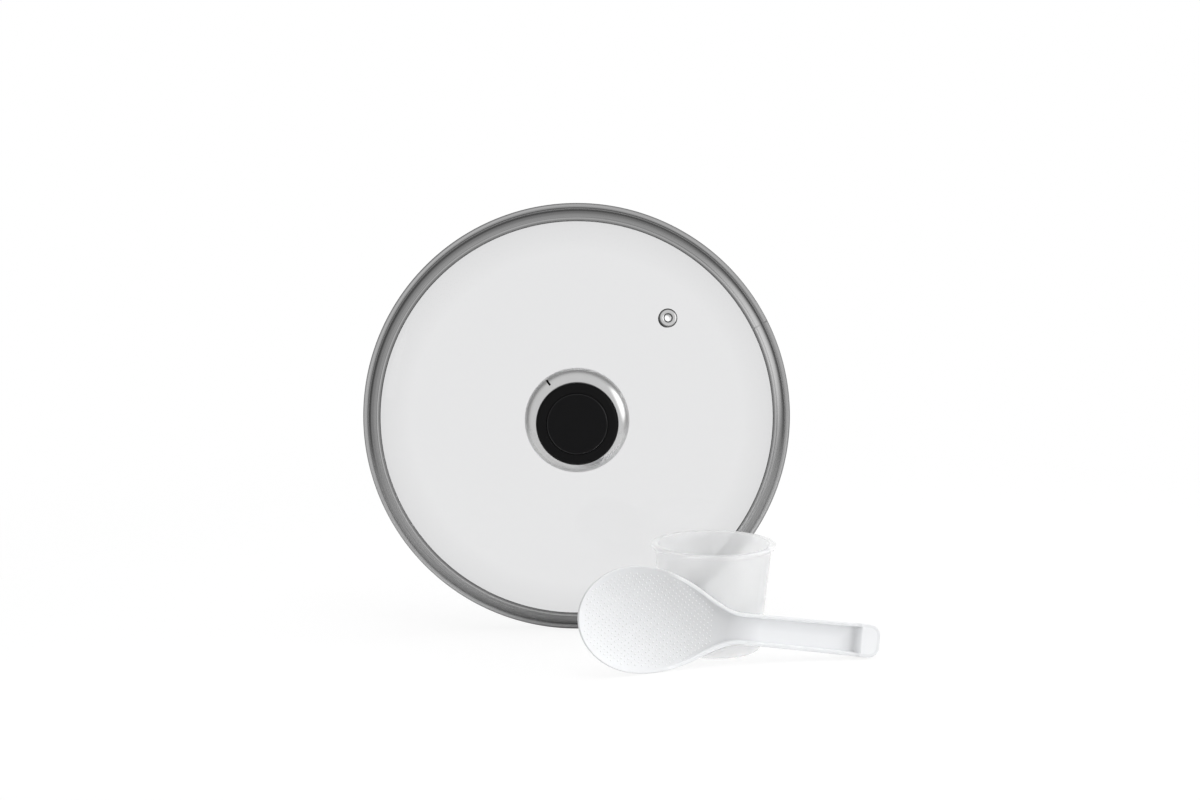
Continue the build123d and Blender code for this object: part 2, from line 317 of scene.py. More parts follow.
def spots_of(node, place):
    """Points of a CAD node in the axes of place"""
    back = place.inverted()
    return [back @ v.co for v in frame["nodes"][node].data.vertices]


def dome_of(sizes, outer):
    """Radius of the dome and height of its centre over the flange's underside"""
    tip = outer - sizes.cover
    dome = (tip ** 2 + sizes.dome_rise ** 2) / (2 * sizes.dome_rise)
    edge = outer - sizes.glass_inset
    return dome, sizes.sheet + sizes.seal_bed - math.sqrt((dome - sizes.glass_thickness) ** 2 - edge ** 2)


def vent_place(sizes):
    """The vent's own axes: Z out of the glass, with the origin on the glass"""
    dome, middle = dome_of(sizes, half_width("rim_band"))
    centre = lid_place() @ Vector((0, 0, middle))
    spots = [v.co for v in frame["nodes"]["vent_eyelet"].data.vertices]
    out = (sum(spots, Vector()) / len(spots) - centre).normalized()
    place = out.to_track_quat("Z", "Y").to_matrix().to_4x4()
    place.translation = centre + out * dome
    return place


def piece_from(name, mesh, material):
    mesh.materials.clear()
    mesh.materials.append(material)
    piece = bpy.data.objects.new(name, mesh)
    bpy.context.scene.collection.objects.link(piece)
    return piece


# Materials

def glass_finish(place):
    """Clear glass, a little greyer towards its ground edge"""
    finish = Finish("Clear tempered glass")
    tint = tuple(finishes().glass)
    spots = finish.noise(finish.coordinates(), 22.0, 4.0)
    clear_radius, edge_radius = 0.100, 0.122
    edge = finish.radius(finish.coordinates(place=place))
    edge = finish.spread(edge, 0.0, 1.0, clear_radius, edge_radius)
    clear = finish.blend(spots, shaded(tint, 0.99), tint)
    finish.into(finish.blend(edge, clear, shaded(tint, 0.90)), "Base Color")
    finish.into(finish.spread(spots, 0.0, 0.012, 0.45, 0.8), "Roughness")
    finish.set(Transmission_Weight=1.0, IOR=1.3, Specular_IOR_Level=0.03)
    return finish.material


def brushed_finish(flange, crease, hem, crest, end):
    """Satin stainless, brushed along the rim, with painted shade in the creases and past the crest and painted
    highlights on the flange and the hem, with the weld across it; the numbers say where those are along the
    section"""
    finish = Finish("Brushed rim steel")
    steel = tuple(finishes().satin_steel)
    hair = finish.noise(finish.coordinates("UV", stretch=(45, 7000, 1)), 1.0, 2.0)
    band = finish.noise(finish.coordinates("UV", stretch=(5, 850, 1)), 1.0, 2.0)
    grain = finish.math("ADD", finish.math("MULTIPLY", hair, 0.3), finish.math("MULTIPLY", band, 0.7))
    unrolled = finish.split(finish.coordinates("UV"))
    # Painted light and shade along the section: dark creases and a dark line past the crest are painted shade, the
    # bright flange and hem are painted highlights
    polish_and_painted_light = finish.ramp(unrolled["Y"], (
        (0.0, 0.5), (flange - 0.0003, 0.48), (flange + 0.0004, 0.92), (flange + 0.0011, 0.92),
        (crease, 0.31), (crease + 0.0006, 0.34), (hem - 0.0008, 0.66), (hem - 0.0001, 0.62),
        (hem + 0.0001, 0.5), (hem + 0.0004, 0.9), (hem + 0.0009, 0.88), (hem + 0.0014, 0.5),
        (crest, 0.4), (crest + 0.0004, 0.22), (crest + 0.0012, 0.7), (end, 0.7)))
    weld_core, weld_edge = 0.0002, 0.0006
    weld = finish.spread(unrolled["X"], 1.0, 0.0, weld_core, weld_edge)
    streaks = finish.spread(grain, 0.0, 1.0, 0.3, 0.7)
    # The streaked steel runs up to 1.24 so that the ramp's painted highlights can reach a bright tone
    tone = finish.blend(streaks, shaded(steel, 0.72), shaded(steel, 1.24))
    # The painted light and shade takes the brushed tone down towards near black
    tone = finish.blend(polish_and_painted_light, shaded(steel, 0.05), tone)
    finish.into(finish.blend(weld, tone, shaded(steel, 0.5)), "Base Color")
    finish.into(finish.spread(grain, 0.20, 0.32, 0.3, 0.7), "Roughness")
    finish.set(Metallic=1.0, Anisotropic=0.2)
    tangent = finish.add("ShaderNodeTangent", direction_type="UV_MAP", uv_map="turned")
    finish.into(tangent.outputs[0], "Tangent")
    finish.bump(grain, 0.06, 0.00004)
    return finish.material


def polished_finish(name, place, rgb, low, high, stops=((0.0, 1.0), (1.0, 1.0)), satin=None):
    """Steel polished on a lathe: fine rings about the axis of place; stops give a painted tone by radius, painted
    shade where they drop below 1, and satin the radii between which the polished face turns satin"""
    finish = Finish(name)
    local = finish.coordinates(place=place)
    out = finish.radius(local)
    rings = finish.wired(finish.add("ShaderNodeTexNoise", noise_dimensions="1D"), W=out, Scale=5200.0,
                         Detail=2.0)
    haze = finish.noise(local, 60.0, 3.0)
    bright = finish.blend(haze, shaded(rgb, 0.93), shaded(rgb, 1.04))
    # The stops darken the steel towards black by radius: painted shade
    finish.into(finish.blend(finish.ramp(out, stops), shaded(rgb, 0.02), bright), "Base Color")
    rough = finish.spread(finish.math("MULTIPLY", rings, haze), low, high, 0.1, 0.45)
    if satin is not None:
        rough = finish.math("MAXIMUM", rough, finish.spread(out, 0.0, 0.5, *satin))
    finish.into(rough, "Roughness")
    finish.set(Metallic=1.0)
    finish.bump(rings, 0.05, 0.00003)
    return finish.material


def moulded_finish(name, rgb, roughness, grain_scale, grain, specular=0.5):
    """Moulded plastic or rubber with a fine grain"""
    finish = Finish(name)
    local = finish.coordinates()
    fine = finish.noise(local, grain_scale, 3.0)
    cloud = finish.noise(local, 45.0, 3.0)
    finish.into(finish.blend(cloud, shaded(rgb, 0.9), shaded(rgb, 1.1)), "Base Color")
    finish.into(finish.spread(fine, roughness * 0.85, roughness * 1.15, 0.3, 0.7), "Roughness")
    finish.set(Specular_IOR_Level=specular)
    finish.bump(fine, grain, 0.00005)
    return finish


def cap_finish(place, flat):
    """Black with a fine grain; the rounded edge outside the flat is polished"""
    finish = moulded_finish("Black grained cap", tuple(finishes().cap_black), 0.46, 2400.0, 0.2, 0.11)
    out = finish.radius(finish.coordinates(place=place))
    finish.into(finish.spread(out, 0.0, 1.0, flat + 0.0003, flat + 0.0006), "Coat Weight")
    finish.set(Coat_Roughness=0.08, Coat_IOR=1.45)
    return finish.material


def cup_finish():
    """Natural polypropylene: milky, with faint flow marks up the wall and more haze at the back"""
    finish = Finish("Natural polypropylene")
    tint = tuple(finishes().cup)
    flow = finish.noise(finish.coordinates(stretch=(1, 1, 0.25)), 45.0, 2.0)
    fine = finish.noise(finish.coordinates(), 900.0, 2.0)
    finish.into(finish.blend(flow, shaded(tint, 0.985), shaded(tint, 1.01)), "Base Color")
    finish.into(finish.spread(flow, 0.36, 0.44, 0.3, 0.7), "Roughness")
    low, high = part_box("measuring_cup")
    middle, reach = (low.y + high.y) / 2, 0.02
    front_haze, back_haze = 0.24, 0.56
    back = finish.split(finish.coordinates())["Y"]
    finish.into(finish.spread(back, front_haze, back_haze, middle - reach, middle + reach), "Alpha")
    finish.set(Subsurface_Weight=1.0, Subsurface_Scale=0.008, Subsurface_Radius=(1, 1, 1), IOR=1.49)
    finish.bump(fine, 0.06, 0.00005)
    return finish.material


def paddle_finish(name, white, place, sizes, depth):
    """White polypropylene with a soft moulded sheen and painted light and shade: lighter at the thin tip, and
    greyer by up to depth at the neck, on its upper side, in the handle's trough, at its end wall, on the blade's
    edge and a little on the rails"""
    finish = Finish(name)
    local = finish.coordinates(place=place)
    fine = finish.noise(local, 1400.0, 2.0)
    cloud = finish.noise(local, 30.0, 3.0)
    axes = finish.split(local)
    along, across = axes["X"], axes["Y"]
    # Painted light and shade, as shares of depth: lighter at the tip and greyer towards the neck, greyer on the
    # upper side, fading out into the handle, greyer on the trough's upper side under the rail and dark on the end
    # wall, kept off the tab
    blade = finish.spread(along, 0.17, 1.0, 0.0, sizes.shoulder)
    upper_painted_shade = finish.spread(across, -0.25, 0.29, -sizes.blade / 2, sizes.blade / 2)
    handle = finish.spread(along, 1.0, 0.0, sizes.neck - 0.008, sizes.rail_full)
    trough = finish.math("MULTIPLY", finish.spread(across, 0.0, 0.5, 0.0, sizes.end_width / 2 - sizes.rail),
                         finish.spread(along, 0.0, 1.0, sizes.neck, sizes.rail_full))
    wall = sizes.span - sizes.tab
    hollow = finish.ramp(along, ((0.0, 0.0), (wall - 0.009, 0.0), (wall - 0.004, 0.3), (wall - 0.0015, 0.8),
                                 (wall, 0.8), (wall + 0.0006, 0.25), (sizes.span, 0.25)))
    closed = finish.spread(along, 1.0, 0.0, wall - 0.001, wall + 0.0005)
    rail, edge = (finish.add("ShaderNodeAttribute", attribute_name=kind).outputs["Fac"]
                  for kind in ("rail", "edge"))
    # grey is the share of painted shade; the rail tops give up theirs for a half share of their own, and the
    # blade's edge is painted darker
    grey = finish.math("MULTIPLY", finish.math("ADD", blade, upper_painted_shade), handle)
    grey = finish.math("MULTIPLY", finish.math("ADD", grey, trough), closed)
    grey = finish.math("MULTIPLY", grey, finish.math("SUBTRACT", 1.0, rail))
    for share in (finish.math("MULTIPLY", rail, 0.5), hollow, edge):
        grey = finish.math("MAXIMUM", grey, share)
    # The white darkened by the painted shade
    tone = finish.blend(grey, white, shaded(white, 1.0 - depth))
    clouded = finish.blend(grey, shaded(white, 0.98), shaded(white, 0.985 - depth))
    finish.into(finish.blend(cloud, tone, clouded), "Base Color")
    finish.into(finish.spread(fine, 0.34, 0.46, 0.3, 0.7), "Roughness")
    finish.set(Subsurface_Weight=0.12, Subsurface_Scale=0.002, Subsurface_Radius=(1, 1, 1), IOR=1.49)
    finish.bump(fine, 0.08, 0.00005)
    return finish.material


# Geometry

def arc(centre, radius, start, stop, steps):
    """Points on an arc, angles in degrees"""
    spots = [math.radians(start + (stop - start) * k / steps) for k in range(steps + 1)]
    return [(centre[0] + radius * math.cos(a), centre[1] + radius * math.sin(a)) for a in spots]


def rim_profile(sizes, outer):
    """Closed section of the band (radius from the lid's axis, height over the flange's underside), and the
    points in it where the flat flange starts, where the crease is, where the hem starts and where it ends"""
    sheet, bend, roll, crease = sizes.sheet, sizes.shoulder, sizes.roll, sizes.crease
    wall = outer - sizes.flange
    tip = outer - sizes.cover
    skirt = wall - sizes.skirt_gap
    dome, middle = dome_of(sizes, outer)
    slope = math.asin(tip / dome)
    low = middle + math.sqrt(dome ** 2 - tip ** 2) + sizes.glass_fit
    knee_radius = wall - bend
    run = knee_radius + bend * math.sin(slope) - tip
    knee = (knee_radius, low + sheet / math.cos(slope) - run * math.tan(slope) - bend * math.cos(slope))
    tucked, hem_step, lip_steps = 0.62, 0.0002, 12
    crest = (tip + roll, low + roll * tucked)
    lean = math.degrees(slope)
    points = arc((outer - sheet, sheet), sheet, -90, 90, 10)
    marks = [len(points) - 1]
    points += arc((wall + crease, 2 * sheet + crease), crease, 270, 180, 5)
    marks.append(len(points) - 3)
    points += arc(knee, bend, 0, 90 - math.degrees(sizes.crown), 22)
    start = points[-1]
    fold = crest[0] + sizes.hem
    lip = [(start[0] + (fold - start[0]) * k / lip_steps, 0.0) for k in range(1, lip_steps + 1)]
    lip += [(fold - hem_step - (sizes.hem - hem_step) * k / 5, sizes.hem_height) for k in range(6)]
    marks.append(len(points) + lip_steps - 1)
    for radius, lift in lip:
        points.append((radius, hermite(start, crest, -math.tan(sizes.crown), 0.0, radius)[0] + lift))
    marks.append(len(points) - 1)
    points += arc((crest[0], crest[1] + sizes.hem_height - roll), roll, 96, 156, 8)
    points += arc(knee, bend - sheet, 90 - lean, 0, 10)
    points += [(wall - sheet, sheet)]
    points += arc((skirt, 0), sheet, 90, 180, 5)
    points += arc((skirt - sheet / 2, sheet / 2 - sizes.skirt_depth), sheet / 2, 180, 360, 8)
    points += [(skirt, 0)]
    return points, marks


def new_tree(name, output, **inputs):
    """A Geometry Nodes tree with named inputs and one output, the web to fill it, and the inputs' sockets"""
    tree = bpy.data.node_groups.new(name, "GeometryNodeTree")
    for label, kind in inputs.items():
        tree.interface.new_socket(label.replace("_", " "), in_out="INPUT", socket_type="NodeSocket" + kind)
    tree.interface.new_socket(output, in_out="OUTPUT", socket_type="NodeSocketGeometry")
    web = Web(tree)
    return tree, web, web.add("NodeGroupInput").outputs


def turned_tree():
    """Geometry Nodes: turns a closed profile about the axis"""
    tree, web, given = new_tree("Turned piece", "Piece", Profile="Geometry", Radius="Float", Steps="Int",
                                Finish="Material")
    section = web.wired("GeometryNodeMeshToCurve", Mesh=given["Profile"])
    circle = web.wired("GeometryNodeCurvePrimitiveCircle", Radius=given["Radius"], Resolution=given["Steps"])
    swept = web.wired("GeometryNodeCurveToMesh", Curve=circle, Profile_Curve=section)
    smooth = web.wired("GeometryNodeSetShadeSmooth", Geometry=swept)
    real = web.wired("GeometryNodeRealizeInstances", Geometry=smooth)
    painted = web.wired("GeometryNodeSetMaterial", Geometry=real, Material=given["Finish"])
    web.wired("NodeGroupOutput", Piece=painted)
    return tree


def made_by(tree, start, **inputs):
    """Runs a tree on a start mesh and gives its result back as a plain mesh"""
    holder = bpy.data.objects.new("holder", start)
    bpy.context.scene.collection.objects.link(holder)
    step = holder.modifiers.new("tree", "NODES")
    step.node_group = tree
    ways = {s.name: s.identifier for s in tree.interface.items_tree if s.in_out == "INPUT"}
    for name, value in inputs.items():
        step[ways[name.replace("_", " ")]] = value
    graph = bpy.context.evaluated_depsgraph_get()
    mesh = bpy.data.meshes.new_from_object(holder.evaluated_get(graph))
    holder.modifiers.clear()
    bpy.data.objects.remove(holder)
    if not mesh.polygons:
        raise RuntimeError("the tree %s made no faces" % tree.name)
    return mesh


def tidy(mesh, gap=1e-7):
    """Merges doubles and turns all faces outwards"""
    form = bmesh.new()
    form.from_mesh(mesh)
    bmesh.ops.remove_doubles(form, verts=form.verts, dist=gap)
    bmesh.ops.dissolve_degenerate(form, dist=gap, edges=form.edges)
    bmesh.ops.recalc_face_normals(form, faces=form.faces)
    form.to_mesh(mesh)
    form.free()
    for face in mesh.polygons:
        face.use_smooth = True
    mesh.set_sharp_from_angle(angle=math.radians(50))


def turned(profile, radius, steps, material):
    """Turns a closed section (radius, height) about the lid's axis"""
    start = bpy.data.meshes.new("section")
    ring = [(k, (k + 1) % len(profile)) for k in range(len(profile))]
    start.from_pydata([(r - radius, -w, 0) for r, w in profile], ring, [])
    return made_by(turned_tree(), start, Radius=radius, Steps=steps, Finish=material)


def turned_piece(name, section, radius, steps, material, place):
    mesh = turned(section, radius, steps, material)
    tidy(mesh)
    mesh.transform(place)
    return piece_from(name, mesh, material)


def lengths(profile):
    """Length along a closed section up to each of its points, and all round it"""
    along = [0.0]
    for before, after in zip(profile, profile[1:] + profile[:1]):
        along.append(along[-1] + math.dist(before, after))
    return along


def unroll(mesh, start, radius, along):
    """UV map in metres: along the turn from the weld, and along the section"""
    layer = mesh.uv_layers.new(name="turned").data
    count = len(along) - 1
    for face in mesh.polygons:
        rows = [v % count for v in face.vertices]
        wraps = max(rows) - min(rows) > 1
        middle = (math.atan2(face.center.y, face.center.x) - start) % math.tau
        for loop, row in zip(face.loop_indices, rows):
            spot = mesh.vertices[mesh.loops[loop].vertex_index].co
            angle = (math.atan2(spot.y, spot.x) - start) % math.tau
            if angle - middle > math.pi:
                angle -= math.tau
            if middle - angle > math.pi:
                angle += math.tau
            layer[loop].uv = (angle * radius, along[-1] if wraps and row == 0 else along[row])


def ease(value):
    value = min(1.0, max(0.0, value))
    return value * value * (3 - 2 * value)


def hermite(start, stop, slope_in, slope_out, at):
    """Height and slope of a cubic between two points (x, y)"""
    run = stop[0] - start[0]
    t = (at - start[0]) / run
    y = ((2 * t ** 3 - 3 * t ** 2 + 1) * start[1] + (t ** 3 - 2 * t ** 2 + t) * run * slope_in
         + (3 * t ** 2 - 2 * t ** 3) * stop[1] + (t ** 3 - t ** 2) * run * slope_out)
    dy = ((6 * t ** 2 - 6 * t) * start[1] + (3 * t ** 2 - 4 * t + 1) * run * slope_in
          + (6 * t - 6 * t ** 2) * stop[1] + (3 * t ** 2 - 2 * t) * run * slope_out) / run
    return y, dy


def paddle_side(sizes, s):
    """Half width of the paddle and the slope of its edge, past the blade's widest place"""
    peak = (sizes.peak, sizes.blade / 2)
    shoulder = (sizes.shoulder, sizes.shoulder_width / 2)
    neck = (sizes.neck, sizes.neck_width / 2)
    if s < sizes.shoulder:
        return hermite(peak, shoulder, 0.0, sizes.shoulder_slope, s)
    if s < sizes.neck:
        return hermite(shoulder, neck, sizes.shoulder_slope, 0.0, s)
    slope = (sizes.end_width - sizes.neck_width) / 2 / (sizes.span - sizes.neck)
    return neck[1] + slope * (s - sizes.neck), slope


# Steps along the paddle's outline and in from it, where its middle line starts and stops, and small lengths
TIP_STEPS, BLADE_STEPS, HANDLE_STEPS, CORNER_STEPS, END_STEPS = 30, 44, 26, 12, 3
EDGE_STEPS, INNER_STEPS = 5, 12
TIP_MIDDLE, END_MIDDLE = 0.72, 0.0036
RAIL_SIDE, RAIL_FADE, RAIL_RIM = 0.0009, 0.02, 0.0007
RAIL_COLUMNS = (0.0011, 0.0014, 0.0017, 0.00185, 0.002, 0.00215, 0.0023, 0.00245, 0.0026, 0.0029, 0.0033)
TAB_STEP = 0.001
WALL_ROWS = (-0.002, -0.0012, -0.0007, -0.0004, -0.0001, 0.0002, 0.0006, 0.0012, 0.0025)


def paddle_stations(sizes):
    """Points round half the outline, each with the way in from the edge and its place on the middle line"""
    peak, half, span, round_end = sizes.peak, sizes.blade / 2, sizes.span, sizes.corner
    stations = []
    for k in range(TIP_STEPS):
        a = math.pi / 2 * k / TIP_STEPS
        inward = Vector((math.cos(a) / peak, -math.sin(a) / half)).normalized()
        middle = peak * (TIP_MIDDLE + (1 - TIP_MIDDLE) * k / TIP_STEPS)
        stations.append((Vector((peak * (1 - math.cos(a)), half * math.sin(a))), inward, middle))
    wall = span - sizes.tab
    rows = [peak + (sizes.neck - peak) * k / BLADE_STEPS for k in range(BLADE_STEPS)]
    rows += [sizes.neck + (wall + WALL_ROWS[0] - sizes.neck) * k / HANDLE_STEPS for k in range(HANDLE_STEPS)]
    rows += [wall + shift for shift in WALL_ROWS]
    for s in rows:
        width, slope = paddle_side(sizes, s)
        stations.append((Vector((s, width)), Vector((slope, -1)).normalized(), s))
    width = paddle_side(sizes, span - round_end)[0]
    closing = []
    for k in range(CORNER_STEPS + 1):
        a = math.pi / 2 * k / CORNER_STEPS
        out = Vector((math.sin(a), math.cos(a)))
        closing.append((Vector((span - round_end, width - round_end)) + out * round_end, -out))
    for k in range(1, END_STEPS + 1):
        closing.append((Vector((span, (width - round_end) * (1 - k / END_STEPS))), Vector((-1, 0))))
    first, last = span - round_end, span - END_MIDDLE
    for k, (spot, inward) in enumerate(closing):
        stations.append((spot, inward, first + (last - first) * k / (len(closing) - 1)))
    return stations


def paddle_front(sizes, s, t, inset):
    """Height of the paddle's front over its back's lowest point; inset is the distance in from the edge"""
    across = sizes.dish - math.sqrt(sizes.dish ** 2 - t ** 2)
    floor = sizes.bow - math.sqrt((sizes.bow - sizes.thickness) ** 2 - (s - sizes.peak) ** 2) + across
    top = sizes.bow - math.sqrt((sizes.bow - sizes.depth) ** 2 - (s - sizes.peak) ** 2)
    rise = ease((s - sizes.rail_start) / (sizes.rail_full - sizes.rail_start))
    rail = 1 - ease((inset - sizes.rail) / RAIL_SIDE)
    tab = ease((s - (sizes.span - sizes.tab) + TAB_STEP / 2) / TAB_STEP)
    return floor + (top - floor) * rise * max(rail, tab)


def paddle_tones(sizes, s, inset):
    """How much a spot on the front belongs to the top of a rail, which loses the blade's painted shade, and to the
    blade's edge, which gets painted shade
    """
    rise = ease((s - sizes.rail_start) / RAIL_FADE)
    return rise * (1 - ease((inset - sizes.rail) / RAIL_RIM)), (1 - rise) * (1 - ease(inset / sizes.edge))


def paddle_back(sizes, s, t):
    around = sizes.dish + sizes.thickness
    bowed = sizes.bow - math.sqrt(sizes.bow ** 2 - (s - sizes.peak) ** 2)
    return bowed + around - math.sqrt(around ** 2 - t ** 2)


def paddle_mesh(sizes):
    """The whole paddle as closed loops from the front's middle over the edge to the back's middle"""
    edge = sizes.edge
    rounding = [edge * (1 - math.sin(math.pi / 2 * k / EDGE_STEPS)) for k in range(EDGE_STEPS, -1, -1)]
    insets = [round(r, 7) for r in rounding] + list(RAIL_COLUMNS)
    shares = [k / INNER_STEPS for k in range(1, INNER_STEPS + 1)]
    loops = []
    for spot, inward, middle in paddle_stations(sizes):
        columns = [(spot + inward * d, d) for d in insets]
        start = columns[-1][0]
        centre = Vector((middle, 0))
        columns += [(start.lerp(centre, f), insets[-1] + (centre - start).length * f) for f in shares]
        front, back = [], []
        for place, d in columns:
            s, t = place.x, max(place.y, 0.0)
            cut = edge - math.sqrt(max(0.0, edge ** 2 - max(0.0, edge - d) ** 2))
            front.append((s, t, paddle_front(sizes, s, t, d) - cut, *paddle_tones(sizes, s, d)))
            back.append((s, t, paddle_back(sizes, s, t) + cut, 0.0, paddle_tones(sizes, s, d)[1]))
        loops.append(front[::-1] + back)
    verts, faces, tones = [], [], []
    for side in (1, -1):
        base = len(verts)
        verts += [(s, side * t, n) for loop in loops for s, t, n, *tone in loop]
        tones += [tone for loop in loops for s, t, n, *tone in loop]
        wide = len(loops[0])
        for i in range(len(loops) - 1):
            for j in range(wide - 1):
                a = base + i * wide + j
                faces.append((a, a + 1, a + wide + 1, a + wide))
    mesh = bpy.data.meshes.new("rice_paddle_form")
    mesh.from_pydata(verts, [], faces)
    # rail and edge carry the shares of painted light and painted shade that the paddle's finish reads
    for name, values in zip(("rail", "edge"), zip(*tones)):
        mesh.attributes.new(name, "FLOAT", "POINT").data.foreach_set("value", values)
    tidy(mesh, 2e-6)
    return mesh


def paddle_place(sizes):
    """From the paddle's own axes (along, across, out of the front) to the set's, taken from the CAD node"""
    turned = Euler((0, 0, sizes.yaw)).to_matrix() @ Euler((math.pi / 2 - sizes.lean, 0, 0)).to_matrix()
    turned = turned @ Euler((0, 0, sizes.roll)).to_matrix()
    back = turned.transposed()
    spots = [back @ v.co for v in frame["nodes"]["rice_paddle"].data.vertices]
    across = [p.y for p in spots]
    origin = Vector((min(p.x for p in spots), (min(across) + max(across)) / 2, min(p.z for p in spots)))
    place = turned.to_4x4()
    place.translation = turned @ origin
    return place


def dot_points(paddle, sizes):
    """Places and normals of the dots, in rows across the blade, each row shifted by half a pitch"""
    row_gap, first_row, past_rails = sizes.pitch * 0.72, sizes.pitch * 0.4, 1.0
    spots, normals = [], []
    row = 0
    s = sizes.margin + first_row
    while s < sizes.last:
        if s < paddle.peak:
            half = paddle.blade / 2 * math.sqrt(1 - ((paddle.peak - s) / paddle.peak) ** 2)
        else:
            half = paddle_side(paddle, s)[0]
        shift = sizes.pitch / 2 if row % 2 else 0.0
        count = int(half / sizes.pitch) + 1
        for k in range(-count, count + 1):
            t = k * sizes.pitch + shift
            if abs(t) > half - sizes.margin:
                continue
            spots.append((s, t, paddle_front(paddle, s, abs(t), past_rails)))
            tilt_s = (s - paddle.peak) / paddle.bow
            tilt_t = t / paddle.dish
            normals.append(Vector((-tilt_s, -tilt_t, 1)).normalized())
        s += row_gap
        row += 1
    return spots, normals


def dots_tree():
    """Geometry Nodes: a low dome on every point, standing along the point's normal"""
    tree, web, given = new_tree("Blade dots", "Dots", Points="Geometry", Dot_radius="Float",
                                Dot_height="Float", Finish="Material")
    ball = web.wired("GeometryNodeMeshUVSphere", Segments=10, Rings=8, Radius=1.0)
    height = web.split(web.add("GeometryNodeInputPosition").outputs[0])["Z"]
    foot = -0.2
    below = web.fed("FunctionNodeCompare", height, foot, data_type="FLOAT", operation="LESS_THAN")[0]
    half = web.wired("GeometryNodeDeleteGeometry", Geometry=ball, Selection=below)
    size = web.fed("ShaderNodeCombineXYZ", given["Dot radius"], given["Dot radius"], given["Dot height"])[0]
    dome = web.wired("GeometryNodeTransform", Geometry=half, Scale=size)
    normal = web.add("GeometryNodeInputNamedAttribute", data_type="FLOAT_VECTOR")
    stand = web.wired(web.add("FunctionNodeAlignRotationToVector", axis="Z"),
                      Vector=web.wired(normal, Name="dot_normal"))
    spread = web.wired("GeometryNodeInstanceOnPoints", Points=given["Points"], Instance=dome, Rotation=stand)
    real = web.wired("GeometryNodeRealizeInstances", Geometry=spread)
    smooth = web.wired("GeometryNodeSetShadeSmooth", Geometry=real)
    painted = web.wired("GeometryNodeSetMaterial", Geometry=smooth, Material=given["Finish"])
    web.wired("NodeGroupOutput", Dots=painted)
    return tree


# Operators

class LID_OT_rim(bpy.types.Operator):
    """Turn the steel band round the glass"""
    bl_idname = "potlid.rim"
    bl_label = "Rim band"

    def execute(self, context):
        sizes = context.scene.pot_rim
        outer = half_width("rim_band")
        profile, marks = rim_profile(sizes, outer)
        along = lengths(profile)
        material = brushed_finish(*[along[mark] for mark in marks], along[-1])
        mesh = turned(profile, outer, sizes.steps, material)
        unroll(mesh, sizes.weld_angle, outer, along)
        tidy(mesh)
        mesh.transform(lid_place())
        band = piece_from("rim_band_steel", mesh, material)
        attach(band, "lid")
        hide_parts("rim_band")
        return {"FINISHED"}


class LID_OT_glass(bpy.types.Operator):
    """Finish the domed glass and its seal"""
    bl_idname = "potlid.glass"
    bl_label = "Glass and seal"

    def execute(self, context):
        dress("lid_glass", glass_finish(lid_place()))
        silicone = moulded_finish("Milky silicone", tuple(finishes().silicone), 0.5, 900.0, 0.08)
        for node in ("rim_seal", "screw_gasket"):
            dress(node, silicone.material)
        return {"FINISHED"}


class LID_OT_knob(bpy.types.Operator):
    """Finish the knob, its cap, the steel dish under it and the fixing behind the glass"""
    bl_idname = "potlid.knob"
    bl_label = "Knob and dish"

    def execute(self, context):
        place = lid_place()
        shades = finishes()
        brim = half_width("knob_base")
        # Painted shade: the dish takes the vent's polished steel darkened to 0.93
        dish = polished_finish("Polished dish steel", place, shaded(shades.polished_steel, 0.93), 0.08, 0.17,
                               satin=(brim - 0.0035, brim - 0.0010))
        dress("knob_base", dish)
        rubber = moulded_finish("Black rubber", tuple(shades.rubber), 0.7, 700.0, 0.15, 0.2)
        dress("base_gasket", rubber.material)
        body = moulded_finish("Black phenolic", tuple(shades.knob_black), 0.34, 1600.0, 0.08, 0.13)
        dress("knob", body.material)
        spots = spots_of("knob_cap", place)
        wide = max(p.xy.length for p in spots)
        low, high = min(p.z for p in spots), max(p.z for p in spots)
        edge = context.scene.pot_rim.cap_edge
        section = [(0, low), (wide, low)] + arc((wide - edge, high - edge), edge, 0, 90, 8) + [(0, high)]
        black = cap_finish(place, wide - edge)
        cap = turned_piece("knob_cap_grained", section, wide, 96, black, place)
        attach(cap, "knob")
        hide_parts("knob_cap")
        dress("knob_insert", polished_finish("Turned brass", place, tuple(shades.brass), 0.18, 0.32))
        zinc = polished_finish("Plated steel", place, tuple(shades.zinc), 0.18, 0.34)
        for node in ("screw_washer", "lock_washer", "knob_screw"):
            dress(node, zinc)
        return {"FINISHED"}


class LID_OT_vent(bpy.types.Operator):
    """Roll the steam vent's eyelet and finish the ring behind it"""
    bl_idname = "potlid.vent"
    bl_label = "Steam vent"

    def execute(self, context):
        place = vent_place(context.scene.pot_rim)
        spots = spots_of("vent_eyelet", place)
        reach = [p.xy.length for p in spots]
        bore, wide = min(reach), max(reach)
        low, high = min(p.z for p in spots), max(p.z for p in spots)
        foot = low + 0.0002
        tube = max(r for r, p in zip(reach, spots) if p.z < foot)
        # Painted shade: dark rings at the bore's edge and at the eyelet's outer edge, light across its rolled top
        stops = ((bore, 0.75), (bore + 0.0002, 0.12), (bore + 0.0006, 0.15), (bore + 0.0010, 0.9),
                 (wide - 0.0013, 1.0), (wide - 0.0006, 0.2), (wide, 0.08))
        polish_and_painted_light = tuple(finishes().polished_steel)
        steel = polished_finish("Polished vent steel", place, polish_and_painted_light, 0.06, 0.15, stops)
        middle, half = (bore + wide) / 2, (wide - bore) / 2
        section = [(bore, low), (tube, low), (tube, 0.0)]
        rolled = [math.pi * k / 16 for k in range(17)]
        section += [(middle + half * math.cos(a), high * math.sin(a)) for a in rolled]
        eyelet = turned_piece("vent_eyelet_rolled", section, wide, 64, steel, place)
        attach(eyelet, "lid")
        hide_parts("vent_eyelet")
        dress("vent_ring", steel)
        return {"FINISHED"}


